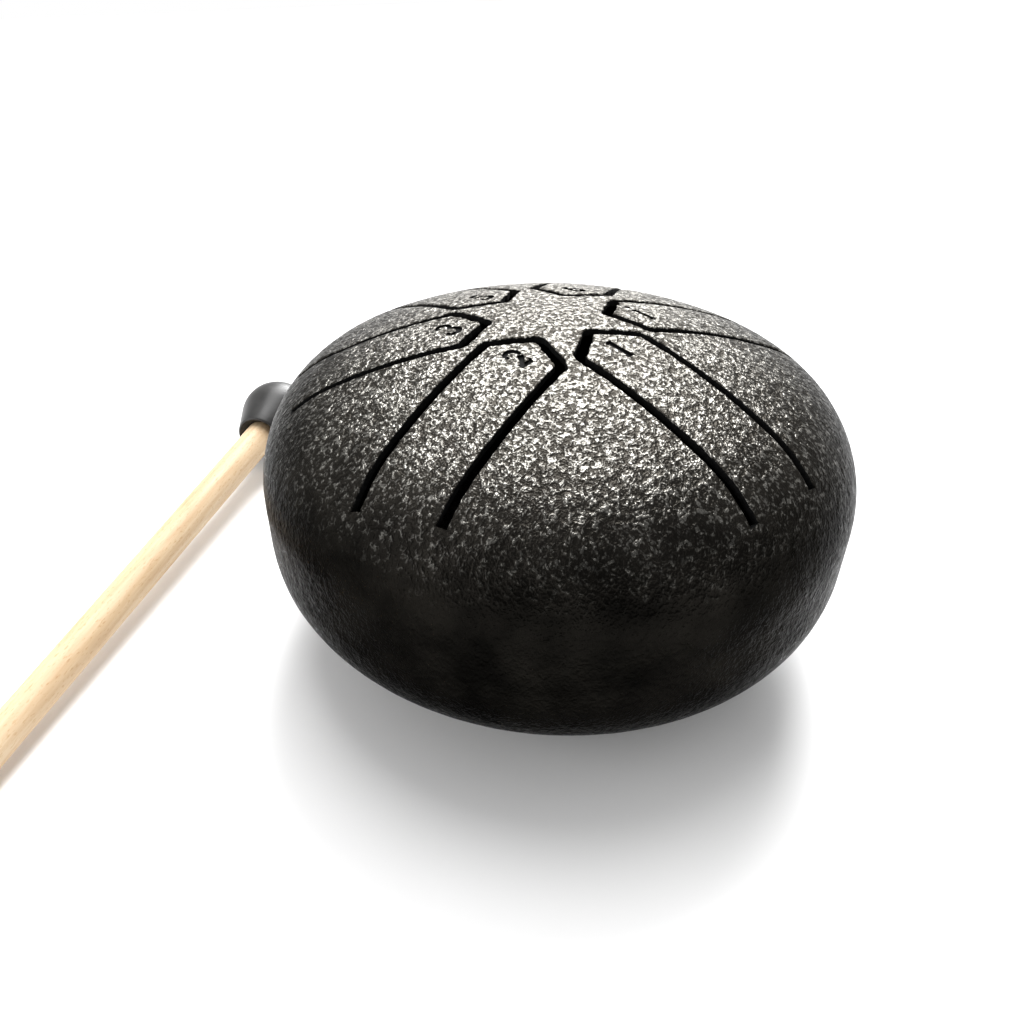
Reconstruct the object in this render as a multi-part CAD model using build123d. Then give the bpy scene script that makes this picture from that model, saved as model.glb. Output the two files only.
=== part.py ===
from build123d import *
from math import asin, atan2, cos, degrees, hypot, radians, sin, sqrt
import os

# A small steel tongue drum on rubber feet, with its mallet lying beside it. Millimetres.
# The drum's axis is +Z through the origin, the feet stand on z = 0 and the player sits at -Y.

# Drum body: two pressed bowls that meet at a seam half way up their short straight side
DRUM_R = 40.0          # outer radius of the straight side
SHEET = 1.0            # steel sheet thickness
CROWN_Z = 47.8         # outer height of the top at the axis
TOP_SIDE_Z = 26.5      # where the straight side turns into the top's shoulder
TOP_SHOULDER_R = 16.4  # shoulder arc of the top
SEAM_Z = 23.5          # plane where the two shells meet
LOW_SIDE_Z = 20.5      # where the straight side turns into the lower shoulder
LOW_SHOULDER_R = 14.6  # shoulder arc of the bottom
BELLY_Z = 1.0          # outer height of the bottom at the axis
SOUND_HOLE_R = 8.0     # hole in the middle of the bottom

# Rubber feet under the bottom shell
FOOT_R = 4.0
FOOT_H = 3.5           # height before its top is cut to the shell's curve
FOOT_EDGE = 0.6        # rounding of a foot's lower edge
FOOT_RING_R = 15.0     # distance of each foot from the axis
FOOT_ANGLES = (60, 180, 300)

# Tongues. Angles are in degrees about +Z from the -Y direction, positive towards +X. A tongue's
# axis runs from its tip angle at TIP_STATION to its root angle at ROOT_STATION from the centre.
# The two distances are from the centre, along that axis: to the slot's point and to the root line.
# The skew is how much further out the slot ends on the axis's right than on its left.
TIP_STATION = 10.0
ROOT_STATION = 38.0
TONGUES = {            # name: (tip angle, root angle, slot point, root line, skew)
    "tongue_1": (-4.0, -2.0, 6.7, 35.9, 0.0),
    "tongue_2": (-61.5, -71.3, 7.8, 35.9, 1.66),
    "tongue_3": (-121.5, -123.9, 8.8, 34.5, 0.0),
    "tongue_5": (-175.0, -180.5, 8.8, 35.4, 0.0),
    "tongue_6": (-235.0, -238.5, 8.6, 35.4, 0.0),
    "tongue_high_1": (-301.0, -295.0, 6.9, 35.4, 0.0),
}
SLOT = 1.2             # width of the slot round a tongue
CORNER_BACK = 3.75     # from the slot's point back to its two corners, along the axis
CORNER_HALF = 5.35     # half the distance between the corners
ROOT_HALF = 5.15       # half the distance between the slot's two ends
ROOT_GAP = 0.03        # clearance at the root line, where the real tongue bends

# Engraved note numbers, all upright for the player
DIGIT_BACK = 5.05      # from the slot's point back to a number's middle, along the tongue's axis
DIGIT_H = 3.4
DIGIT_STROKE = 0.5
DIGIT_DEPTH = 0.35
DOT_R = 0.4
DOT_RISE = 2.6         # height of the high note's dot above the middle of its number

# Mallet: a rubber bulb on a tapered wooden stick
HEAD_R = 7.4           # ball radius
HEAD_RIM_R = 4.7       # flat rim where the stick goes in
HEAD_RIM_X = 8.8       # distance of the rim from the ball's centre
SOCKET_END_X = 2.0     # the stick's socket reaches to this far from the ball's centre
STICK_R = 3.0          # stick radius at the head
STICK_END_R = 2.2      # stick radius at the handle's end
STICK_END_X = 117.6    # distance of the handle's end from the ball's centre
STICK_EDGE = 0.8       # rounding of the handle's end
HEAD_AT = (-9.3, 70.6)  # plan position of the ball's centre
HEADING = 36.9         # plan direction from handle to head, degrees from +X

PRISM_FLOOR = TOP_SIDE_Z    # every tongue lies above the straight side
PRISM_H = 30.0


def crown_r(rise, shoulder_r):
    """Radius of the arc, centred on the axis, that runs smoothly into a shoulder arc."""
    return (DRUM_R**2 - 2 * DRUM_R * shoulder_r + rise**2) / (2 * (rise - shoulder_r))


def bowl_outline(pole_z, side_z, shoulder_r, inset):
    """One bowl's outline in (radius, height), as edges from the axis to the seam."""
    up = 1 if pole_z > side_z else -1
    cap = crown_r(abs(pole_z - side_z), shoulder_r)
    cap_z = pole_z - up * cap
    turn = atan2(DRUM_R - shoulder_r, up * (side_z - cap_z))

    def on_arc(centre, radius, angle):
        return (centre[0] + radius * sin(angle), centre[1] + up * radius * cos(angle))

    cap_centre = (0, cap_z)
    shoulder_centre = (DRUM_R - shoulder_r, side_z)
    pole = on_arc(cap_centre, cap - inset, 0)
    join = on_arc(cap_centre, cap - inset, turn)
    side = (DRUM_R - inset, side_z)
    cap_arc = ThreePointArc(pole, on_arc(cap_centre, cap - inset, turn / 2), join)
    middle = (turn + radians(90)) / 2
    shoulder_arc = ThreePointArc(join, on_arc(shoulder_centre, shoulder_r - inset, middle), side)
    return [cap_arc, shoulder_arc, Line(side, (DRUM_R - inset, SEAM_Z))]


def bowl(pole_z, side_z, shoulder_r, outer=0.0, inner=SHEET):
    """A bowl between two depths below its outer surface, turned about the axis."""
    outside = bowl_outline(pole_z, side_z, shoulder_r, outer)
    inside = bowl_outline(pole_z, side_z, shoulder_r, inner)
    ends = [Line(outside[0] @ 0, inside[0] @ 0), Line(outside[-1] @ 1, inside[-1] @ 1)]
    section = Plane.XZ * make_face(outside + inside + ends)
    return revolve(section, Axis.Z)


def top_height(radius, depth):
    """Height of the top's sheet at a distance from the axis, at a depth below its surface."""
    cap = crown_r(CROWN_Z - TOP_SIDE_Z, TOP_SHOULDER_R)
    turn = atan2(DRUM_R - TOP_SHOULDER_R, TOP_SIDE_Z - CROWN_Z + cap)
    if radius < (cap - depth) * sin(turn):
        return CROWN_Z - cap + sqrt((cap - depth) ** 2 - radius**2)
    out = radius - (DRUM_R - TOP_SHOULDER_R)
    return TOP_SIDE_Z + sqrt((TOP_SHOULDER_R - depth) ** 2 - out**2)


def plan_point(angle, distance):
    return Vector(distance * sin(radians(angle)), -distance * cos(radians(angle)))


def tongue_plane(name):
    """Plan axes of a tongue: x along it towards its root, measured from the centre, y across."""
    tip_angle, root_angle = TONGUES[name][:2]
    tip = plan_point(tip_angle, TIP_STATION)
    along = (plan_point(root_angle, ROOT_STATION) - tip).normalized()
    start = tip - along * TIP_STATION
    return Plane(origin=(start.X, start.Y, PRISM_FLOOR), x_dir=(along.X, along.Y, 0), z_dir=(0, 0, 1))


def root_slope(name):
    """How far the root line runs back towards the tip for each millimetre across."""
    return TONGUES[name][4] / (2 * ROOT_HALF)


def tongue_prism(name, grow, past_root=0.0):
    """Upright prism of a tongue's plan shape, its sides moved outwards by grow."""
    point, root = TONGUES[name][2:4]
    corner = point + CORNER_BACK
    past = root + 2 * SLOT
    past_half = CORNER_HALF - (CORNER_HALF - ROOT_HALF) / (root - corner) * (past - corner)
    outline = [
        (point, 0),
        (corner, -CORNER_HALF),
        (past, -past_half),
        (past, past_half),
        (corner, CORNER_HALF),
    ]
    shape = offset(Polygon(*outline, align=None), amount=grow, kind=Kind.INTERSECTION)
    half = 2 * CORNER_HALF
    end = root + past_root
    lean = root_slope(name) * half
    reach = Polygon((0, -half), (end + lean, -half), (end - lean, half), (0, half), align=None)
    return extrude(tongue_plane(name) * (shape & reach), PRISM_H)


def digit_one():
    h = DIGIT_H / 2
    return [
        Line((0, -h), (0, h)),
        Line((-0.5 * h, 0.6 * h), (0, h)),
        Line((-0.45 * h, -h), (0.45 * h, -h)),
    ]


def digit_two():
    h = DIGIT_H / 2
    return [
        ThreePointArc((-0.5 * h, 0.5 * h), (0, h), (0.5 * h, 0.5 * h)),
        Line((0.5 * h, 0.5 * h), (-0.5 * h, -h)),
        Line((-0.5 * h, -h), (0.5 * h, -h)),
    ]


def digit_three():
    h = DIGIT_H / 2
    return [
        ThreePointArc((-0.5 * h, 0.7 * h), (0.42 * h, 0.6 * h), (-0.1 * h, 0.1 * h)),
        ThreePointArc((-0.1 * h, 0.1 * h), (0.5 * h, -0.5 * h), (-0.5 * h, -0.8 * h)),
    ]


def digit_five():
    h = DIGIT_H / 2
    return [
        Line((0.45 * h, h), (-0.35 * h, h)),
        Line((-0.35 * h, h), (-0.4 * h, 0.15 * h)),
        ThreePointArc((-0.4 * h, 0.15 * h), (0.5 * h, -0.4 * h), (-0.5 * h, -0.85 * h)),
    ]


def digit_six():
    h = DIGIT_H / 2
    bowl_r = 0.46 * h
    return [
        CenterArc((0, bowl_r - h), bowl_r, 0, 360),
        ThreePointArc((-bowl_r, bowl_r - h), (-0.25 * h, 0.55 * h), (0.4 * h, h)),
    ]


def digit_shape(name):
    strokes = {"1": digit_one, "2": digit_two, "3": digit_three, "5": digit_five, "6": digit_six}
    number = name[-1]
    shape = Sketch() + [trace(line, line_width=DIGIT_STROKE) for line in strokes[number]()]
    if "high" in name:
        shape += Pos(0, DOT_RISE) * Circle(DOT_R)
    return shape


def tongue(name, top, skin):
    body = top & tongue_prism(name, -SLOT / 2)
    station = TONGUES[name][2] + DIGIT_BACK
    middle = tongue_plane(name).from_local_coords(Vector(station, 0, 0))
    number = Pos(middle.X, middle.Y, PRISM_FLOOR) * extrude(digit_shape(name), PRISM_H)
    return body - (number & skin)


def print_hinge(name):
    """The root line about which the tongue bends, half way through the sheet."""
    plane = tongue_plane(name)
    at = plane.from_local_coords(Vector(TONGUES[name][3], 0, 0))
    height = top_height(hypot(at.X, at.Y), SHEET / 2)
    line = (plane.x_dir * root_slope(name) - plane.y_dir).normalized()
    print(f"{name} hinge at {at.X:.3f} {at.Y:.3f} {height:.3f} axis {line.X:.5f} {line.Y:.5f} 0")


def foot(angle, above):
    """A rubber pad whose top takes the shape of the bottom shell's outside."""
    at = plan_point(angle, FOOT_RING_R)
    pad = Cylinder(FOOT_R, FOOT_H, align=(Align.CENTER, Align.CENTER, Align.MIN))
    pad = fillet(pad.edges().sort_by(Axis.Z)[0], FOOT_EDGE)
    return Pos(at.X, at.Y, 0) * pad - above


def mallet_place():
    """Lays the mallet down: its ball and the rounded edge of its handle both touch z = 0."""
    reach = STICK_END_X - STICK_EDGE
    below = STICK_END_R - STICK_EDGE
    tilt = asin((HEAD_R - STICK_EDGE) / hypot(reach, below)) - atan2(below, reach)
    return Pos(*HEAD_AT, HEAD_R) * Rot(0, 0, HEADING) * Rot(0, -degrees(tilt), 0)


def mallet_head():
    """The bulb, turned about X: a ball that tapers to a flat rim round the stick."""
    touch = asin(HEAD_R / hypot(HEAD_RIM_X, HEAD_RIM_R)) - atan2(HEAD_RIM_R, HEAD_RIM_X)
    flank = (-HEAD_R * sin(touch), HEAD_R * cos(touch))
    quarter = HEAD_R * sin(radians(45))
    outline = [
        ThreePointArc((HEAD_R, 0), (quarter, quarter), flank),
        Line(flank, (-HEAD_RIM_X, HEAD_RIM_R)),
        Line((-HEAD_RIM_X, HEAD_RIM_R), (-HEAD_RIM_X, STICK_R)),
        Line((-HEAD_RIM_X, STICK_R), (-SOCKET_END_X, STICK_R)),
        Line((-SOCKET_END_X, STICK_R), (-SOCKET_END_X, 0)),
        Line((-SOCKET_END_X, 0), (HEAD_R, 0)),
    ]
    return revolve(make_face(outline), Axis.X)


def mallet_stick():
    """The stick: even inside the head, then tapering to a rounded handle end."""
    outline = [
        (-SOCKET_END_X, 0),
        (-SOCKET_END_X, STICK_R),
        (-HEAD_RIM_X, STICK_R),
        (-STICK_END_X, STICK_END_R),
        (-STICK_END_X, 0),
    ]
    stick = revolve(make_face(Polyline(*outline, close=True)), Axis.X)
    return fillet(stick.edges().sort_by(Axis.X)[0], STICK_EDGE)


def save(shape, name):
    export_step(shape, f"parts/{name}.step")


def build():
    os.makedirs("parts", exist_ok=True)
    top = bowl(CROWN_Z, TOP_SIDE_Z, TOP_SHOULDER_R)
    skin = bowl(CROWN_Z, TOP_SIDE_Z, TOP_SHOULDER_R, inner=DIGIT_DEPTH)
    shell = top
    for name in TONGUES:
        save(tongue(name, top, skin), name)
        print_hinge(name)
        shell -= tongue_prism(name, SLOT / 2, ROOT_GAP)
    save(shell, "top_shell")

    bottom = bowl(BELLY_Z, LOW_SIDE_Z, LOW_SHOULDER_R)
    above_feet = bowl(BELLY_Z, LOW_SIDE_Z, LOW_SHOULDER_R, inner=FOOT_H)
    for number, angle in enumerate(FOOT_ANGLES, start=1):
        save(foot(angle, above_feet), f"foot_{number}")
    hole = Pos(0, 0, BELLY_Z) * Cylinder(SOUND_HOLE_R, 4 * SHEET)
    save(bottom - hole, "bottom_shell")

    place = mallet_place()
    save(place * mallet_head(), "mallet_head")
    save(place * mallet_stick(), "mallet_stick")


build()
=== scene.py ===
"""A small steel tongue drum with its mallet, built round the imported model. Metres, +Z up."""

from math import asin, atan2, cos, hypot, pi, radians, sin

import bmesh
import bpy
import numpy as np
from mathutils import Matrix, Vector, noise
from mathutils.geometry import delaunay_2d_cdt


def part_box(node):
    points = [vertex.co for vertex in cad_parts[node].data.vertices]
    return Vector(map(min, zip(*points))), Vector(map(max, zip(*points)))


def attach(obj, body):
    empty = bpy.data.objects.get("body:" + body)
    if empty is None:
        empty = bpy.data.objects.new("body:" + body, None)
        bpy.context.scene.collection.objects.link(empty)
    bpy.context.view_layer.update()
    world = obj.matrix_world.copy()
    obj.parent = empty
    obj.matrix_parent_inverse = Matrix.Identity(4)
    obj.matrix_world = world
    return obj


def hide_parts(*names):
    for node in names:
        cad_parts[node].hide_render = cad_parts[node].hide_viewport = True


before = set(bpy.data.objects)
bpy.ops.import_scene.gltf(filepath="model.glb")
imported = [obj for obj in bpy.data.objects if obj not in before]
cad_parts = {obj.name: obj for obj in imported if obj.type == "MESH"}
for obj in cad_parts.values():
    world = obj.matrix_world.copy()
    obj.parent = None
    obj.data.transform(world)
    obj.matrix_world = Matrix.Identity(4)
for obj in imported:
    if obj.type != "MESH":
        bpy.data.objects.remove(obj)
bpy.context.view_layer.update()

MM = 0.001

# Drum body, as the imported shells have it
TOP_LOW, TOP_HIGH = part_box("top_shell")
DRUM_R = TOP_HIGH.x
CROWN_Z = TOP_HIGH.z
SEAM_Z = TOP_LOW.z
BELLY_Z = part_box("bottom_shell")[0].z
SHEET = 1.0 * MM
TOP_SIDE_Z = 26.5 * MM
TOP_SHOULDER_R = 16.4 * MM
LOW_SIDE_Z = 20.5 * MM
LOW_SHOULDER_R = 14.6 * MM
SOUND_HOLE_R = 8.0 * MM
RIM_POINTS = 520             # points round the seam, the same on both shells

# Tongues. Angles are about +Z from -Y, positive towards +X; a tongue's axis runs from its tip
# angle at TIP_STATION to its root angle at ROOT_STATION from the drum's axis
TIP_STATION = 10.0 * MM
ROOT_STATION = 38.0 * MM
TONGUES = {                  # name: (tip angle, root angle, slot point, root line, skew), in mm
    "tongue_1": (-4.0, -2.0, 6.7, 35.9, 0.0),
    "tongue_2": (-61.5, -71.3, 7.8, 35.9, 1.66),
    "tongue_3": (-121.5, -123.9, 8.8, 34.5, 0.0),
    "tongue_5": (-175.0, -180.5, 8.8, 35.4, 0.0),
    "tongue_6": (-235.0, -238.5, 8.6, 35.4, 0.0),
    "tongue_high_1": (-301.0, -295.0, 6.9, 35.4, 0.0),
}
SLOT = 1.2 * MM
SLOT_OPEN = 0.14 * MM        # how much wider the slot is cut round a tongue's tip, each side
OPEN_RUN = 5.0 * MM          # the slot narrows again over this length past its corners
RAG = 0.16 * MM              # unevenness of a slot's edge
RAG_SIDE = 0.35              # share of it along the straight sides, and what a tip adds
RAG_TIP = 0.9
CORNER_BACK = 3.75 * MM      # from the slot's point back to its two corners
CORNER_HALF = 5.35 * MM
ROOT_HALF = 5.15 * MM
EDGE_STEP = 0.3 * MM         # spacing of points along a slot's edge
LIP = 0.14 * MM              # rounding of the paint over a cut edge
LIP_ROWS = (0.05, 0.13, 0.28)  # rows of points beside an edge, in millimetres
LIP_CLEAR = 0.4 * MM         # from an edge to the sheet's other points
GROOVE_CLEAR = 0.1 * MM      # from a number's outline to the points beside an edge
THINNEST = 1e-13             # square metres: thinner triangles are dropped

# Numbers
DIGIT_BACK = 5.05 * MM       # from the slot's point back to the middle of the number
DIGIT_H = 3.75 * MM
DIGIT_DEPTH = 0.35 * MM

# Mallet, in its own frame: the ball's centre at the origin, +X to the nose
HEAD_LOW, HEAD_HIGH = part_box("mallet_head")
HEAD_R = (HEAD_HIGH.z - HEAD_LOW.z) / 2
HEAD_AT = Vector((HEAD_HIGH.x - HEAD_R, HEAD_HIGH.y - HEAD_R, HEAD_LOW.z + HEAD_R))
HEADING = 36.9               # degrees from +X
RIM_BACK = 8.8 * MM
RIM_R = 4.7 * MM
RIM_EDGE = 0.4 * MM
RIM_SINK = 1.4 * MM          # how far the rim's face sinks in towards the stick
BORE = 5.0 * MM              # how far the head's inner wall reaches in past its rim
STICK_R = 3.0 * MM
STICK_END_R = 2.2 * MM
STICK_BACK = 117.6 * MM
STICK_FRONT = -2.0 * MM
STICK_EDGE = 0.8 * MM

# Surface
GRID = 0.62 * MM             # spacing of the surface's points
LOWER_GRID = 0.9 * MM
ROW_PITCH = 0.866            # height of an even triangle with sides of 1
WAVE = 0.045 * MM            # unevenness of the pressed sheet and its thick paint
PAINTED_SHADE_Z = 0.034               # painted shade below this height and painted highlight above the next, set by height, with a noise that raises the border between them by up to the value below
PAINTED_HIGHLIGHT_Z = 0.052             # with stains that raise a place by up to PAINTED_BORDER_RISE
PAINTED_BORDER_RISE = 0.006


# ---------------------------------------------------------------- bowls

class Bowl:
    """A shell's meridian: a crown arc, a shoulder arc and a straight side, by distance along it."""

    def __init__(self, pole_z, side_z, shoulder_r):
        self.up = 1 if pole_z > side_z else -1
        rise = abs(pole_z - side_z)
        self.side_z = side_z
        self.shoulder = shoulder_r
        self.cap = (DRUM_R**2 - 2 * DRUM_R * shoulder_r + rise**2) / (2 * (rise - shoulder_r))
        self.cap_z = pole_z - self.up * self.cap
        self.turn = atan2(DRUM_R - shoulder_r, self.up * (side_z - self.cap_z))
        self.join = self.cap * self.turn
        self.side = self.join + shoulder_r * (pi / 2 - self.turn)
        self.end = self.side + abs(side_z - SEAM_Z)

    def along(self, radius):
        """Distance along the meridian at a distance from the drum's axis."""
        radius = np.asarray(radius, float)
        on_cap = self.cap * np.arcsin(np.clip(radius / self.cap, 0, 1))
        out = np.clip((radius - DRUM_R + self.shoulder) / self.shoulder, 0, 1)
        on_shoulder = self.join + self.shoulder * (np.arcsin(out) - self.turn)
        return np.where(radius < self.cap * sin(self.turn), on_cap, on_shoulder)

    def tilt(self, s):
        """Angle between the surface and level at distances along the meridian."""
        tilt = np.where(s < self.join, s / self.cap, self.turn + (s - self.join) / self.shoulder)
        return np.minimum(tilt, pi / 2)

    def place(self, flat, depth):
        """Points on the bowl from flat map points and depths below the outer surface."""
        s = np.hypot(flat[:, 0], flat[:, 1])
        angle = np.arctan2(flat[:, 1], flat[:, 0])
        tilt = self.tilt(s)
        on_cap = s < self.join
        arc_r = np.where(on_cap, self.cap, self.shoulder)
        centre_r = np.where(on_cap, 0.0, DRUM_R - self.shoulder)
        centre_z = np.where(on_cap, self.cap_z, self.side_z)
        radius = centre_r + (arc_r - depth) * np.sin(tilt)
        height = centre_z + self.up * (arc_r - depth) * np.cos(tilt)
        height = height - self.up * np.maximum(s - self.side, 0)
        return np.column_stack([radius * np.cos(angle), radius * np.sin(angle), height])

    def flatten(self, plan):
        """Plan points to flat map points: the same direction, at the distance along the bowl."""
        plan = np.asarray(plan, float).reshape(-1, 2)
        radius = np.hypot(plan[:, 0], plan[:, 1])
        scale = self.along(radius) / np.maximum(radius, 1e-9)
        return plan * scale[:, None]


TOP = Bowl(CROWN_Z, TOP_SIDE_Z, TOP_SHOULDER_R)
LOWER = Bowl(BELLY_Z, LOW_SIDE_Z, LOW_SHOULDER_R)


# ---------------------------------------------------------------- flat shapes

def inside(points, loop):
    """Which points lie inside a closed loop."""
    result = np.zeros(len(points), bool)
    x, y = points[:, 0], points[:, 1]
    box = (x >= loop[:, 0].min()) & (x <= loop[:, 0].max())
    box &= (y >= loop[:, 1].min()) & (y <= loop[:, 1].max())
    x, y = x[box], y[box]
    odd = np.zeros(len(x), bool)
    for (x0, y0), (x1, y1) in zip(loop, np.roll(loop, -1, axis=0)):
        crosses = (y0 > y) != (y1 > y)
        with np.errstate(divide="ignore", invalid="ignore"):
            odd ^= crosses & (x < x0 + (y - y0) * (x1 - x0) / (y1 - y0))
    result[box] = odd
    return result


def distance(points, line):
    """Distance of each point from an open line of points."""
    best = np.full(len(points), 1.0)
    for a, b in zip(line[:-1], line[1:]):
        d = b - a
        t = np.clip(((points - a) @ d) / max(d @ d, 1e-18), 0, 1)
        gap = points - a - t[:, None] * d
        best = np.minimum(best, np.hypot(gap[:, 0], gap[:, 1]))
    return best


def resample(line, step):
    """Evenly spaced points along a line, both ends kept."""
    line = np.asarray(line, float)
    lengths = np.hypot(*np.diff(line, axis=0).T)
    total = np.concatenate([[0], np.cumsum(lengths)])
    count = max(2, int(round(total[-1] / step)) + 1)
    at = np.linspace(0, total[-1], count)
    return np.column_stack([np.interp(at, total, line[:, i]) for i in (0, 1)])


def normals(line):
    """Left-hand unit normals at the points of a line."""
    run = np.gradient(line, axis=0)
    run /= np.maximum(np.hypot(run[:, 0], run[:, 1]), 1e-12)[:, None]
    return np.column_stack([-run[:, 1], run[:, 0]])


def soften(line, rounds):
    """Rounds a finely spaced line's corners, its ends kept."""
    line = line.copy()
    for _ in range(rounds):
        line[1:-1] = 0.25 * line[:-2] + 0.5 * line[1:-1] + 0.25 * line[2:]
    return line


def ring(radius, count):
    """A closed ring of evenly spaced points."""
    angle = np.arange(count) * 2 * pi / count
    return radius * np.column_stack([np.cos(angle), np.sin(angle)])


def closed(loop):
    """A loop as a line that ends where it starts."""
    return np.vstack([loop, loop[:1]])


def staggered_grid(reach, step):
    """Points at the corners of even triangles, filling a square."""
    across = np.arange(-reach, reach, step)
    rows = np.arange(-reach, reach, step * ROW_PITCH)
    shifted = [across + (i % 2) * step / 2 for i in range(len(rows))]
    return np.concatenate([np.column_stack([x, np.full(len(x), y)]) for x, y in zip(shifted, rows)])


# ---------------------------------------------------------------- tongues and slots

class Tongue:
    """A tongue's plan: its axis, and the outline of the slot round it."""

    def __init__(self, name):
        tip_angle, root_angle, point, root, skew = TONGUES[name]
        self.name = name
        self.seed = Vector((37.0 * len(name), 11.0 * tip_angle, 0))
        self.point, self.root = point * MM, root * MM
        self.lean = skew * MM / 2
        tip = plan_point(tip_angle, TIP_STATION)
        self.along = plan_point(root_angle, ROOT_STATION) - tip
        self.along /= np.hypot(*self.along)
        self.across = np.array([-self.along[1], self.along[0]])
        self.start = tip - self.along * TIP_STATION

    def plan(self, station, side):
        """Plan points from distances along the tongue's axis and across it."""
        along = np.multiply.outer(np.atleast_1d(station), self.along)
        return self.start + along + np.multiply.outer(np.atleast_1d(side), self.across)

    def slot_edge(self, side):
        """One edge of the slot in plan, root to root: side is -1 for the tongue's, 1 for the shell's."""
        corner = self.point + CORNER_BACK
        station = np.array([self.root + self.lean, corner, self.point, corner, self.root - self.lean])
        half = np.array([-ROOT_HALF, -CORNER_HALF, 0, CORNER_HALF, ROOT_HALF])
        middle = soften(resample(self.plan(station, half), EDGE_STEP), 2)
        from_tip = (middle - self.start) @ self.along - self.point
        near_tip = np.clip(1 - (from_tip - CORNER_BACK) / OPEN_RUN, 0, 1)
        rag = np.array([ragged(Vector((*p, 0)) / MM + self.seed * side) for p in middle])
        ends = np.minimum(np.arange(len(rag)), np.arange(len(rag))[::-1])
        rag *= np.minimum(1, ends / 3) * (RAG_SIDE + RAG_TIP * near_tip)
        edge = middle + normals(middle) * (side * (SLOT / 2 + SLOT_OPEN * near_tip + rag))[:, None]
        for end in (0, -1):
            across = (edge[end] - self.start) @ self.across
            edge[end] = self.plan(self.root - across * self.lean / ROOT_HALF, across)[0]
        return edge


def plan_point(angle, reach):
    """A plan point from an angle in degrees and a distance from the drum's axis."""
    return reach * np.array([sin(radians(angle)), -cos(radians(angle))])


def ragged(at):
    """Unevenness of a cut edge under thick paint, from a place in millimetres."""
    return RAG * (noise.noise(at * 0.8) + noise.noise(at * 2.1))


# ---------------------------------------------------------------- numbers

def stroke(points, widths):
    """Outline of a pen stroke whose width changes along it. Points and widths are in digit heights."""
    line = np.array(points, float)
    across = normals(line) * (np.array(widths) / 2)[:, None]
    return np.concatenate([line + across, (line - across)[::-1]])


def arc(centre, radius, start, end, count=14, squeeze=1.0):
    angle = np.radians(np.linspace(start, end, count))
    across, up = squeeze * radius * np.cos(angle), radius * np.sin(angle)
    return np.column_stack([centre[0] + across, centre[1] + up])


def blob(centre, radius):
    return arc(centre, radius, 0, 336, 15)


def taper(count, thin, thick):
    """Pen widths that swell to thick in the middle of a stroke."""
    return thin + (thick - thin) * np.sin(np.linspace(0, pi, count))


THIN, THICK = 0.11, 0.23     # widths of a pen stroke, in digit heights


def digit_one():
    return [
        stroke([(0, -0.5), (0, 0.5)], (THICK, THICK)),
        stroke([(-0.17, 0.36), (0, 0.49)], (THIN, THIN)),
        stroke([(-0.17, -0.47), (0.17, -0.47)], (THIN, THIN)),
    ]


def digit_two():
    head = arc((0, 0.24), 0.24, 165, -35, 16)
    tail = np.array([(0.19, 0.08), (0.02, -0.2), (-0.24, -0.46)])
    return [
        stroke(head, taper(16, THIN, THICK)),
        blob((-0.2, 0.24), 0.085),
        stroke(tail, (THICK, THICK * 0.8, THIN)),
        stroke([(-0.26, -0.43), (0.22, -0.43)], (THICK, THICK * 0.9)),
        stroke([(0.2, -0.43), (0.27, -0.26)], (THIN, THIN)),
    ]


def digit_three():
    return [
        stroke(arc((-0.02, 0.26), 0.21, 160, -80, 16), taper(16, THIN, THICK)),
        stroke(arc((-0.02, -0.22), 0.26, 85, -160, 18), taper(18, THIN, THICK)),
        blob((-0.2, 0.3), 0.08),
        blob((-0.23, -0.29), 0.08),
    ]


def digit_five():
    return [
        stroke([(-0.16, 0.45), (0.2, 0.45)], (THICK, THICK * 0.8)),
        stroke([(-0.16, 0.46), (-0.19, 0.02)], (THIN, THIN)),
        stroke(arc((-0.02, -0.2), 0.28, 125, -150, 18), taper(18, THIN, THICK)),
        blob((-0.22, -0.33), 0.08),
    ]


def digit_six():
    return [
        stroke(arc((0, -0.22), 0.25, 0, 175, 16, 0.9), taper(16, THIN, THICK)),
        stroke(arc((0, -0.22), 0.25, 175, 360, 16, 0.9), taper(16, THICK, THICK)),
        stroke(arc((0.25, -0.15), 0.62, 108, 178, 14, 0.8), taper(14, THIN, THICK)),
    ]


DIGITS = {"1": digit_one, "2": digit_two, "3": digit_three, "5": digit_five, "6": digit_six}


def number_loops(tongue):
    """Outlines of a tongue's number in plan, upright for the player."""
    middle = tongue.plan(tongue.point + DIGIT_BACK, 0)[0]
    loops = [np.asarray(loop) for loop in DIGITS[tongue.name[-1]]()]
    if "high" in tongue.name:
        loops = [loop * 0.9 - (0, 0.08) for loop in loops] + [blob((0, 0.66), 0.11)]
    return [middle + loop * DIGIT_H for loop in loops]


# ---------------------------------------------------------------- sheet pieces

def cut_sheet(name, bowl, outline, holes=(), lips=(), grooves=(), step=GRID):
    """A sheet of steel on a bowl: its outline and holes are flat loops, lips are cut edges whose
    paint is rounded, and grooves are loops sunk by DIGIT_DEPTH."""
    rows = beside_lips(outline, holes, lips, grooves)
    grid = fill(outline, holes, lips, grooves, step)
    flat, faces = triangulate([outline, *holes, *grooves], [rows, grid])
    middle = flat[faces].mean(axis=1)
    solid = inside(middle, outline)
    for hole in holes:
        solid &= ~inside(middle, hole)
    faces, middle = faces[solid], middle[solid]
    sunk = np.zeros(len(faces), bool)
    for loop in grooves:
        sunk |= inside(middle, loop)
    return sheet_mesh(name, bowl, flat, faces, sunk, lip_depth(flat, lips))


def beside_lips(outline, holes, lips, grooves):
    """Rows of points along the cut edges, clear of the numbers."""
    if not lips:
        return np.zeros((0, 2))
    shifts = [side * gap * MM for gap in LIP_ROWS for side in (-1, 1)]
    rows = np.concatenate([lip + normals(lip) * shift for lip in lips for shift in shifts])
    rows = rows[inside(rows, outline)]
    for hole in holes:
        rows = rows[~inside(rows, hole)]
    for loop in grooves:
        rows = rows[distance(rows, closed(loop)) > GROOVE_CLEAR]
    return rows


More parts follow.
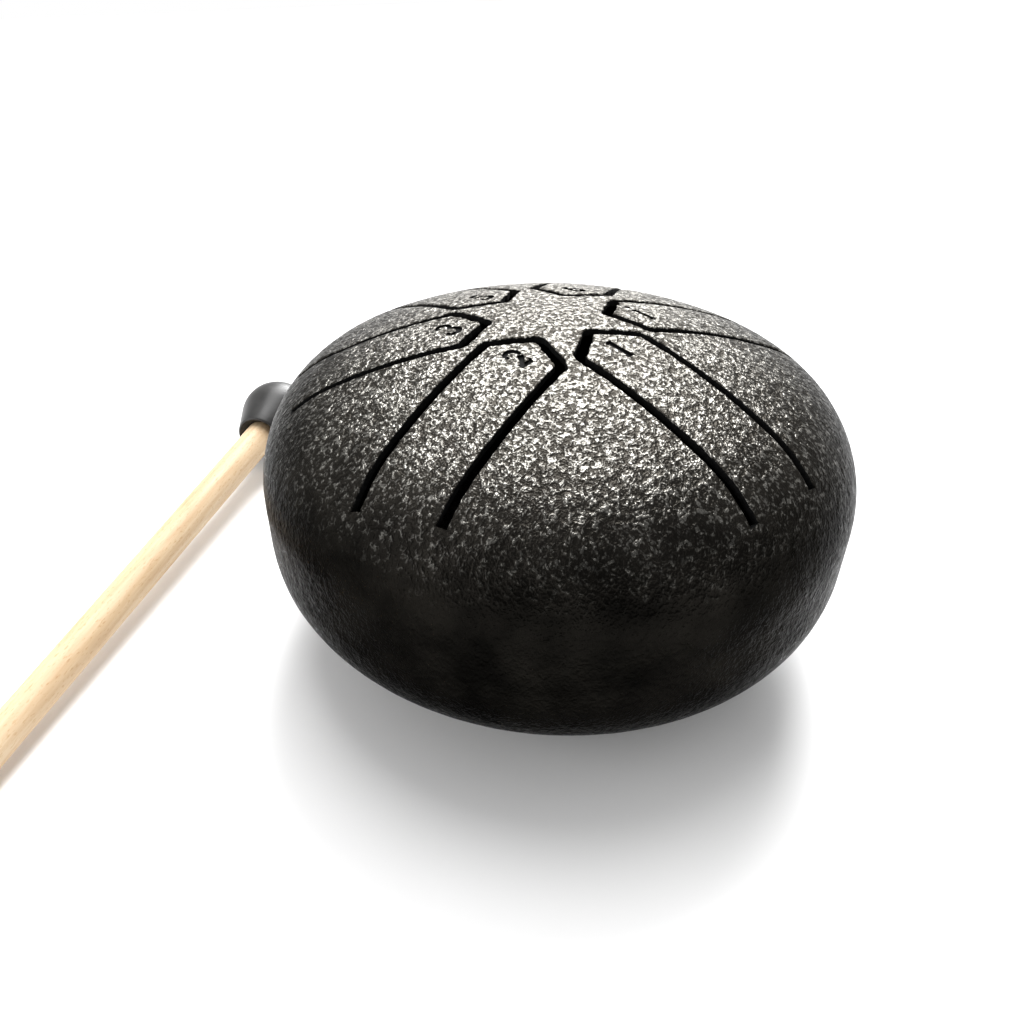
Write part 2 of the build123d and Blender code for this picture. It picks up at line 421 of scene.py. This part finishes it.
def fill(outline, holes, lips, grooves, step):
    """The sheet's inner points, clear of its edges."""
    grid = staggered_grid(np.abs(outline).max() + step, step)
    grid = grid[inside(grid, outline)]
    for hole in holes:
        grid = grid[~inside(grid, hole)]
    grid = grid[distance(grid, closed(outline)) > (0.4 if lips else 0.45) * step]
    for loop in (*holes, *grooves):
        grid = grid[distance(grid, closed(loop)) > 0.45 * step]
    for lip in lips:
        grid = grid[distance(grid, lip) > LIP_CLEAR]
    return grid


def triangulate(loops, loose):
    """Points and triangles over closed loops, whose sides are kept, and loose points. It works in
    millimetres."""
    edges, first = [], 0
    for loop in loops:
        edges += [(first + i, first + (i + 1) % len(loop)) for i in range(len(loop))]
        first += len(loop)
    points = np.concatenate([*loops, *loose])
    made = delaunay_2d_cdt([Vector(p) for p in points * 1000], edges, [], 0, 1e-5, False)
    flat = np.array([tuple(v) for v in made[0]]) / 1000
    faces = np.array([f for f in made[2] if len(f) == 3], int)
    corner = flat[faces]
    turn = np.cross(corner[:, 1] - corner[:, 0], corner[:, 2] - corner[:, 0])
    faces[turn < 0] = faces[turn < 0][:, ::-1]
    return flat, faces[np.abs(turn) > THINNEST]


def lip_depth(flat, lips):
    """How far each point sinks where the paint rounds over a cut edge."""
    depth = np.zeros(len(flat))
    for lip in lips:
        near = distance(flat, lip)
        close = near < LIP
        depth[close] = np.maximum(depth[close], LIP - np.sqrt(LIP**2 - (LIP - near[close]) ** 2))
    return depth


def sheet_mesh(name, bowl, flat, faces, sunk, depth):
    """Closes a flat triangulation into a sheet with an outer and an inner face."""
    count = len(flat)
    outer = bowl.place(flat, depth)
    outer += waviness(outer, bowl, flat)
    floor = bowl.place(flat, depth + DIGIT_DEPTH)
    inner = bowl.place(flat, np.full(count, SHEET))
    points = np.concatenate([outer, floor, inner])
    flip = bowl.up < 0
    skin = np.where(sunk[:, None], faces + count, faces)
    back = faces[:, ::-1] + 2 * count
    quads = []
    sides = {}
    for face, low in zip(faces.tolist(), sunk.tolist()):
        for a, b in zip(face, face[1:] + face[:1]):
            sides[(a, b)] = low
    for (a, b), low in sides.items():
        other = sides.get((b, a))
        if other is None:
            top = count if low else 0
            quads.append((b + top, a + top, a + 2 * count, b + 2 * count))
        elif low and not other:
            quads.append((a, b, b + count, a + count))
    polygons = skin.tolist() + back.tolist() + [list(q) for q in quads]
    # number floors and cut faces take the second material; on the slots' cut faces it is painted shade
    material = sunk.astype(int).tolist() + [0] * len(faces) + [1] * len(quads)
    if flip:
        polygons = [p[::-1] for p in polygons]
    return make_mesh(name, points, polygons, material)


def waviness(points, bowl, flat):
    """Low unevenness of the surface, the same on pieces that meet."""
    radius = np.maximum(np.hypot(points[:, 0], points[:, 1]), 1e-9)
    tilt = bowl.tilt(np.hypot(flat[:, 0], flat[:, 1]))
    out = np.column_stack([
        points[:, 0] / radius * np.sin(tilt),
        points[:, 1] / radius * np.sin(tilt),
        bowl.up * np.cos(tilt),
    ])
    rise = np.array([wave(Vector(p) / MM) for p in points])
    return out * rise[:, None]


def wave(at):
    """Unevenness of the surface at a place in millimetres: always inwards."""
    slow = noise.noise(at * 0.11)
    fast = noise.noise(at * 0.45 + Vector((9.0, 3.0, 5.0)))
    return WAVE * (slow + 0.45 * fast - 0.6)


def make_mesh(name, points, polygons, material=None):
    """A smooth-shaded piece. The material list gives each polygon's place in the piece's materials."""
    mesh = bpy.data.meshes.new(name)
    mesh.from_pydata([tuple(p) for p in points], [], polygons)
    if material and any(material):
        mesh.polygons.foreach_set("material_index", material)
    mesh.validate()
    clean(mesh)
    mesh.polygons.foreach_set("use_smooth", [True] * len(mesh.polygons))
    mesh.set_sharp_from_angle(angle=radians(50))
    piece = bpy.data.objects.new(name, mesh)
    bpy.context.scene.collection.objects.link(piece)
    return piece


def clean(mesh):
    """Drops the points that no face uses."""
    used = np.zeros(len(mesh.vertices), bool)
    loops = np.zeros(len(mesh.loops), int)
    mesh.loops.foreach_get("vertex_index", loops)
    used[loops] = True
    work = bmesh.new()
    work.from_mesh(mesh)
    work.verts.ensure_lookup_table()
    loose = [work.verts[i] for i in np.flatnonzero(~used)]
    bmesh.ops.delete(work, geom=loose, context="VERTS")
    work.to_mesh(mesh)
    work.free()


def between_rings(rings, segments):
    """Faces from each ring of points to the next. A ring may be a single point."""
    faces = []
    for a, b in zip(rings, rings[1:]):
        for i in range(segments):
            j = (i + 1) % segments
            quad = [a[i % len(a)], a[j % len(a)], b[j % len(b)], b[i % len(b)]]
            faces.append(list(dict.fromkeys(quad)))
    return faces


def lathe(name, profile, segments, place, wobble):
    """Turns a profile of (along, radius) points about its own X, then lays it in its place."""
    points, rings = [], []
    for x, r in profile:
        if r < 1e-7:
            rings.append([len(points)])
            points.append((x, 0, 0))
            continue
        start = len(points)
        for i in range(segments):
            angle = 2 * pi * i / segments
            uneven = noise.noise(Vector((x * 260, 3 * cos(angle), 3 * sin(angle))))
            radius = r + wobble * uneven
            points.append((x, radius * cos(angle), radius * sin(angle)))
        rings.append(list(range(start, start + segments)))
    piece = make_mesh(name, points, between_rings(rings, segments))
    piece.data.transform(place)
    return piece


# ---------------------------------------------------------------- materials

def shader(name, **values):
    """A material with one surface shader, whose uniform values are set on its own sockets."""
    material = bpy.data.materials.new(name)
    material.use_nodes = True
    bsdf = material.node_tree.nodes["Principled BSDF"]
    for key, value in values.items():
        bsdf.inputs[key.replace("_", " ")].default_value = value
    return material, material.node_tree, bsdf


def node(tree, kind, inputs=None, **settings):
    """A shader node. An input may be a value or another node's output."""
    made = tree.nodes.new(kind)
    for key, value in settings.items():
        setattr(made, key, value)
    for key, value in (inputs or {}).items():
        if isinstance(value, bpy.types.NodeSocket):
            tree.links.new(value, made.inputs[key])
        else:
            made.inputs[key].default_value = value
    return made


def mapped(tree, scale):
    """Object coordinates, scaled on each axis."""
    place = node(tree, "ShaderNodeTexCoord").outputs["Object"]
    return node(tree, "ShaderNodeMapping", {"Vector": place, "Scale": scale}).outputs["Vector"]


def ramp(tree, value, low, high, dark, light):
    """Maps a value between two limits to a range of greys or colours."""
    made = node(tree, "ShaderNodeValToRGB", {"Fac": value})
    made.color_ramp.elements[0].position = low
    made.color_ramp.elements[1].position = high
    made.color_ramp.elements[0].color = dark
    made.color_ramp.elements[1].color = light
    return made.outputs["Color"]


def grey(value):
    return (value, value, value, 1)


def noise_map(tree, place, scale, **settings):
    """A noise over a place, as a value."""
    return node(tree, "ShaderNodeTexNoise", {"Vector": place, "Scale": scale, **settings}).outputs["Fac"]


def add_scaled(tree, value, factor, added):
    """A value times a factor, plus what is added."""
    made = node(tree, "ShaderNodeMath", {0: value, 1: factor, 2: added}, operation="MULTIPLY_ADD")
    return made.outputs[0]


def mix(tree, factor, first, second, blend_type="MIX"):
    inputs = {0: factor, 6: first, 7: second}
    return node(tree, "ShaderNodeMix", inputs, data_type="RGBA", blend_type=blend_type).outputs[2]


def surface(tree, bsdf, colour, roughness, height, distance, strength):
    """Sets a surface's colour, its roughness unless it is even, and its relief."""
    tree.links.new(colour, bsdf.inputs["Base Color"])
    if roughness:
        tree.links.new(roughness, bsdf.inputs["Roughness"])
    relief = {"Height": height, "Distance": distance, "Strength": strength}
    tree.links.new(node(tree, "ShaderNodeBump", relief).outputs["Normal"], bsdf.inputs["Normal"])


def paint():
    """Thick black crinkle paint: glossy ridges that catch the light in small spots, over duller pits.
    Its reflectance is painted by height: painted shade from the shoulder down, a painted highlight above."""
    material, tree, bsdf = shader("crinkle_paint", Metallic=1.0, Specular_Tint=grey(0.5))
    place = node(tree, "ShaderNodeTexCoord").outputs["Object"]
    fine = mapped(tree, (1, 1, 0.75))
    worms = noise_map(tree, fine, 1650.0, Detail=2.0, Roughness=0.55, Distortion=0.5)
    lumps = noise_map(tree, fine, 620.0, Detail=1.0)
    grit = noise_map(tree, fine, 4200.0, Detail=0.0)
    stain = noise_map(tree, place, 150.0, Detail=4.0)
    ridges = add_scaled(tree, grit, 0.25, worms)
    height = add_scaled(tree, lumps, 0.9, ridges)
    # painted shade and painted highlight by height: a smooth step from low to high, with a noise moving the
    # border
    level = node(tree, "ShaderNodeSeparateXYZ", {0: place}).outputs["Z"]
    limits = {"Value": add_scaled(tree, stain, PAINTED_BORDER_RISE, level), "From Min": PAINTED_SHADE_Z, "From Max": PAINTED_HIGHLIGHT_Z}
    painted_light_mask = node(tree, "ShaderNodeMapRange", limits, interpolation_type="SMOOTHSTEP").outputs[0]
    # painted shade below: a near-black reflectance with a random tone; painted highlight above: a bright
    # reflectance on the ridges, whose pattern is real and whose brightness is painted
    painted_shade = ramp(tree, stain, 0.35, 0.7, (0.0027, 0.0025, 0.0022, 1), (0.0078, 0.0071, 0.0060, 1))
    specks = add_scaled(tree, painted_light_mask, 0.13, ridges)
    bright = ramp(tree, specks, 0.70, 0.90, (0.045, 0.0415, 0.036, 1), (0.46, 0.445, 0.41, 1))
    gloss = ramp(tree, worms, 0.35, 0.7, grey(0.42), grey(0.24))
    strength = add_scaled(tree, painted_light_mask, 0.5, 0.5)
    surface(tree, bsdf, mix(tree, painted_light_mask, painted_shade, bright), gloss, height, 0.0005, strength)
    return material


def dark_numbers_and_slot_shade():
    """Very dark matt black in the stamped numbers, and on the cut edges of the slots as painted shade
    darker than their paint.
    """
    material, tree, bsdf = shader("dull_black", Specular_IOR_Level=0.12, Roughness=0.8)
    speck = noise_map(tree, mapped(tree, (1, 1, 1)), 2400.0)
    colour = ramp(tree, speck, 0.35, 0.7, (0.0015, 0.0015, 0.0015, 1), (0.006, 0.006, 0.006, 1))
    surface(tree, bsdf, colour, None, speck, 0.00004, 0.6)
    return material


def head_rubber():
    """Moulded dark rubber: satin, with a faint grain and dusty patches."""
    material, tree, bsdf = shader("head_rubber", Specular_IOR_Level=0.45)
    spots = mapped(tree, (1, 1, 1))
    grain = noise_map(tree, spots, 2600.0, Detail=3.0)
    dust = noise_map(tree, spots, 240.0, Detail=5.0, Roughness=0.6)
    colour = ramp(tree, dust, 0.35, 0.75, (0.010, 0.0098, 0.0095, 1), (0.026, 0.025, 0.024, 1))
    rough = ramp(tree, dust, 0.3, 0.7, grey(0.34), grey(0.48))
    surface(tree, bsdf, colour, rough, grain, 0.00002, 0.6)
    return material


def foot_rubber():
    """Matt black rubber with a fine grain."""
    material, tree, bsdf = shader("foot_rubber", Specular_IOR_Level=0.35)
    grain = noise_map(tree, mapped(tree, (1, 1, 1)), 1800.0, Detail=3.0)
    colour = ramp(tree, grain, 0.3, 0.7, (0.012, 0.012, 0.012, 1), (0.026, 0.025, 0.024, 1))
    rough = ramp(tree, grain, 0.3, 0.7, grey(0.6), grey(0.78))
    surface(tree, bsdf, colour, rough, grain, 0.00004, 0.7)
    return material


def birch():
    """Pale sanded birch: long faint grain along the stick and short brown pores."""
    material, tree, bsdf = shader("birch", Specular_IOR_Level=0.3)
    place = mallet_place()
    spot = node(tree, "ShaderNodeTexCoord").outputs["Object"]
    turned = {"Vector": spot, "Location": place.translation, "Rotation": place.to_euler()}
    along = node(tree, "ShaderNodeMapping", turned, vector_type="TEXTURE").outputs["Vector"]

    def grain(scale, **settings):
        stretched = node(tree, "ShaderNodeMapping", {"Vector": along, "Scale": scale}).outputs["Vector"]
        return noise_map(tree, stretched, 1.0, **settings)

    fibre = grain((75, 1000, 1000), Detail=5.0, Roughness=0.65, Distortion=0.3)
    band = grain((22, 280, 280), Detail=2.0)
    pores = grain((1300, 4200, 4200), Detail=1.5)
    base = ramp(tree, fibre, 0.3, 0.72, (0.57, 0.405, 0.25, 1), (0.71, 0.57, 0.395, 1))
    bands = ramp(tree, band, 0.35, 0.7, (0.90, 0.85, 0.78, 1), (1, 1, 1, 1))
    pore = ramp(tree, pores, 0.58, 0.74, (1, 1, 1, 1), (0.84, 0.74, 0.63, 1))
    banded = mix(tree, 1.0, base, bands, "MULTIPLY")
    colour = mix(tree, 1.0, banded, pore, "MULTIPLY")
    rough = ramp(tree, fibre, 0.3, 0.7, grey(0.62), grey(0.5))
    surface(tree, bsdf, colour, rough, fibre, 0.00005, 0.5)
    return material


def floor_material():
    """A plain, nearly white table top."""
    material, tree, bsdf = shader("pale_floor", Roughness=0.9, Specular_IOR_Level=0.1)
    soft = noise_map(tree, mapped(tree, (1, 1, 1)), 30.0)
    colour = ramp(tree, soft, 0.3, 0.7, (0.90, 0.90, 0.90, 1), (0.93, 0.93, 0.93, 1))
    tree.links.new(colour, bsdf.inputs["Base Color"])
    return material


def dress(piece, material, slot, body, *nodes):
    """Gives a piece its material or materials, its body and the CAD nodes it replaces. The slot is not
    used.
    """
    for each in material if isinstance(material, tuple) else (material,):
        piece.data.materials.append(each)
    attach(piece, body)
    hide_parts(*nodes)
    return piece


# ---------------------------------------------------------------- pieces

def make_drum(coat, walls):
    """The two shells and the tongues. The coat covers them, and the walls are their cut faces."""
    tongues = [Tongue(name) for name in TONGUES]
    holes, lips = [], []
    for tongue in tongues:
        plan = tongue.slot_edge(1)
        edge = TOP.flatten(plan)
        root = TOP.flatten(resample([plan[-1], plan[0]], EDGE_STEP))
        holes.append(np.vstack([edge, root[1:-1]]))
        lips.append(edge)
    outline = ring(TOP.end, RIM_POINTS)
    shell = cut_sheet("top_shell_skin", TOP, outline, holes, lips)
    dress(shell, (coat, walls), "black_paint", "drum", "top_shell")
    for tongue in tongues:
        make_tongue(tongue, coat, walls)
    hole_edge = ring(float(LOWER.along(SOUND_HOLE_R)), 150)
    lip = closed(hole_edge)
    outline = ring(LOWER.end, RIM_POINTS)
    lower = cut_sheet("bottom_shell_skin", LOWER, outline, [hole_edge], [lip], step=LOWER_GRID)
    dress(lower, (coat, walls), "black_paint", "drum", "bottom_shell")


def make_tongue(tongue, coat, walls):
    """A tongue's sheet, cut along the slot's inner edge and stamped with its number."""
    plan = tongue.slot_edge(-1)
    edge = TOP.flatten(plan)
    root = TOP.flatten(resample([plan[-1], plan[0]], EDGE_STEP))
    outline = np.vstack([edge, root[1:-1]])
    grooves = [TOP.flatten(loop) for loop in number_loops(tongue)]
    piece = cut_sheet(tongue.name + "_skin", TOP, outline, lips=[edge], grooves=grooves)
    dress(piece, (coat, walls), "black_paint", tongue.name, tongue.name)


def make_feet(material):
    for number in (1, 2, 3):
        name = f"foot_{number}"
        low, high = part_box(name)
        radius = (high.x - low.x) / 2
        centre = ((low.x + high.x) / 2, (low.y + high.y) / 2)
        points, faces = foot_shape(centre, radius, low.z)
        piece = make_mesh(name + "_pad", points, faces)
        dress(piece, material, "foot_rubber", "drum", name)


def foot_shape(centre, radius, floor_z):
    """A round pad with a rounded lower edge, its top on the shell's curve."""
    edge, segments = 0.6 * MM, 72
    rows = [(0.0, 0.0), (0.5 * (radius - edge), 0.0), (radius - edge, 0.0)]   # (radius, rise)
    rows += [(radius - edge + edge * sin(a), edge - edge * cos(a)) for a in np.radians((22, 45, 68, 90))]
    rows += [(radius, None), (0.66 * radius, None), (0.33 * radius, None), (0.0, None)]
    points, rings = [], []
    for r, rise in rows:
        ring_points = []
        for i in range(segments if r > 0 else 1):
            a = 2 * pi * i / segments
            x, y = centre[0] + r * cos(a), centre[1] + r * sin(a)
            z = floor_z + rise if rise is not None else shell_under(hypot(x, y))
            ring_points.append(len(points))
            points.append((x, y, z))
        rings.append(ring_points)
    return points, [face[::-1] for face in between_rings(rings, segments)]


def shell_under(radius):
    """Height of the bottom shell's outer surface at a distance from the axis."""
    flat = np.array([[float(LOWER.along(radius)), 0.0]])
    return LOWER.place(flat, np.array([-0.02 * MM]))[0][2]


def mallet_place():
    """The mallet lies on its ball and on the rounded end of its stick."""
    reach = STICK_BACK - STICK_EDGE
    below = STICK_END_R - STICK_EDGE
    lean = asin((HEAD_R - STICK_EDGE) / hypot(reach, below)) - atan2(below, reach)
    turn = Matrix.Rotation(radians(HEADING), 4, "Z") @ Matrix.Rotation(-lean, 4, "Y")
    return Matrix.Translation(HEAD_AT) @ turn


def make_mallet(rubber, wood):
    """The mallet's head and stick, turned separately and laid in the same place."""
    place = mallet_place()
    head = lathe("mallet_head_bulb", head_profile(), 144, place, 0.02 * MM)
    dress(head, rubber, "head_rubber", "mallet", "mallet_head")
    stick = lathe("mallet_stick_turned", stick_profile(), 96, place, 0.015 * MM)
    dress(stick, wood, "stick_wood", "mallet", "mallet_stick")


def rounded(x, radius, edge):
    """Points round the edge between an end face and the side of a turned piece."""
    turns = np.radians((18, 36, 54, 72))
    return [(x + edge * (1 - cos(turn)), radius - edge * (1 - sin(turn))) for turn in turns]


def head_profile():
    """A ball that tapers to a rounded rim round the stick, from inside its bore to the nose."""
    touch = asin(HEAD_R / hypot(RIM_BACK, RIM_R)) - atan2(RIM_R, RIM_BACK)
    face_r = RIM_R - RIM_EDGE
    points = [
        (-RIM_BACK + BORE, STICK_R),
        (-RIM_BACK + RIM_SINK, STICK_R),
        (-RIM_BACK + 0.5 * RIM_SINK, STICK_R + 0.45 * (face_r - STICK_R)),
        (-RIM_BACK + 0.1 * RIM_SINK, RIM_R - 1.25 * RIM_EDGE),
        (-RIM_BACK, face_r),
    ]
    points += rounded(-RIM_BACK, RIM_R, RIM_EDGE)
    start_x, start_r = points[-1]
    flank_x, flank_r = -HEAD_R * sin(touch), HEAD_R * cos(touch)
    for t in (0.2, 0.4, 0.6, 0.8):
        points.append((start_x + (flank_x - start_x) * t, start_r + (flank_r - start_r) * t))
    for turn in np.linspace(-touch, pi / 2, 44):
        points.append((HEAD_R * sin(turn), max(HEAD_R * cos(turn), 0)))
    return points


def stick_profile():
    """A stick that thins towards its rounded handle end."""
    points = [(-STICK_BACK, 0), (-STICK_BACK, 0.4 * STICK_END_R)]
    points.append((-STICK_BACK, STICK_END_R - STICK_EDGE))
    points += rounded(-STICK_BACK, STICK_END_R, STICK_EDGE)
    run = STICK_BACK - STICK_EDGE - RIM_BACK
    for t in np.linspace(0, 1, 90):
        points.append((-STICK_BACK + STICK_EDGE + run * t, STICK_END_R + (STICK_R - STICK_END_R) * t))
    points += [(STICK_FRONT, STICK_R), (STICK_FRONT, 0)]
    return points


# ---------------------------------------------------------------- camera, floor and light

CAMERA_AT = (-68.5, -66.3, 83.6)       # millimetres
CAMERA_TARGET = (-11.0, 8.0, 26.4)
CAMERA_ROLL = -1.54                    # degrees, the horizon dips to the right
LENS = 26.94
SHIFT = (0.0576, -0.052)


def make_camera():
    """Near the drum, above it and to its left."""
    data = bpy.data.cameras.new("camera")
    data.lens = LENS
    data.shift_x, data.shift_y = SHIFT
    data.clip_start, data.clip_end = 0.005, 20
    camera = bpy.data.objects.new("camera", data)
    look = (Vector(CAMERA_TARGET) - Vector(CAMERA_AT)).normalized()
    level = look.to_track_quat("-Z", "Y")
    roll = Matrix.Rotation(radians(CAMERA_ROLL), 4, "Z")
    stand = Matrix.Translation(Vector(CAMERA_AT) * MM)
    camera.matrix_world = stand @ level.to_matrix().to_4x4() @ roll
    bpy.context.scene.collection.objects.link(camera)
    bpy.context.scene.camera = camera


def make_floor():
    """A pale table top, a hair below the feet."""
    reach = 6.0
    corners = [(-reach, -reach, 0), (reach, -reach, 0), (reach, reach, 0), (-reach, reach, 0)]
    mesh = bpy.data.meshes.new("floor")
    mesh.from_pydata(corners, [], [(0, 1, 2, 3)])
    floor = bpy.data.objects.new("floor", mesh)
    floor.location.z = -0.05 * MM
    mesh.materials.append(floor_material())
    bpy.context.scene.collection.objects.link(floor)


def lamp(name, azimuth, elevation, spread, strength):
    """A far round lamp. Azimuth is where it stands, from +X; spread is its width in degrees."""
    data = bpy.data.lights.new(name, "SUN")
    data.angle = radians(spread)
    data.energy = strength
    made = bpy.data.objects.new(name, data)
    turn, rise = radians(azimuth), radians(elevation)
    toward = Vector((cos(turn), sin(turn), sin(rise) / cos(rise)))
    made.rotation_euler = toward.to_track_quat("Z", "Y").to_euler()
    bpy.context.scene.collection.objects.link(made)


def make_light():
    """A bright band round the horizon under a dimmer dome, dimmer still behind the camera, and
    lamps behind, above and left of the drum."""
    world = bpy.data.worlds.new("studio")
    world.use_nodes = True
    tree = world.node_tree
    direction = node(tree, "ShaderNodeTexCoord").outputs["Generated"]
    split = node(tree, "ShaderNodeSeparateXYZ", {0: direction}).outputs
    dome = ramp(tree, split["Z"], 0.10, 0.42, grey(1.0), grey(0.78))
    depth = add_scaled(tree, split["Y"], 0.7, add_scaled(tree, split["X"], 0.3, 0.8))
    near = ramp(tree, depth, 0.2, 0.75, grey(0.5), grey(1.0))
    tree.links.new(mix(tree, 1.0, dome, near, "MULTIPLY"), tree.nodes["Background"].inputs["Color"])
    bpy.context.scene.world = world
    bpy.context.scene.view_settings.view_transform = "Standard"
    lamp("back", 40, 27, 24, 2.2)
    lamp("window", 38, 50, 30, 3.0)
    lamp("overhead", 60, 76, 30, 1.6)
    lamp("left", 165, 24, 40, 0.9)


make_camera()
make_floor()
make_light()
make_drum(paint(), dark_numbers_and_slot_shade())
make_feet(foot_rubber())
make_mallet(head_rubber(), birch())
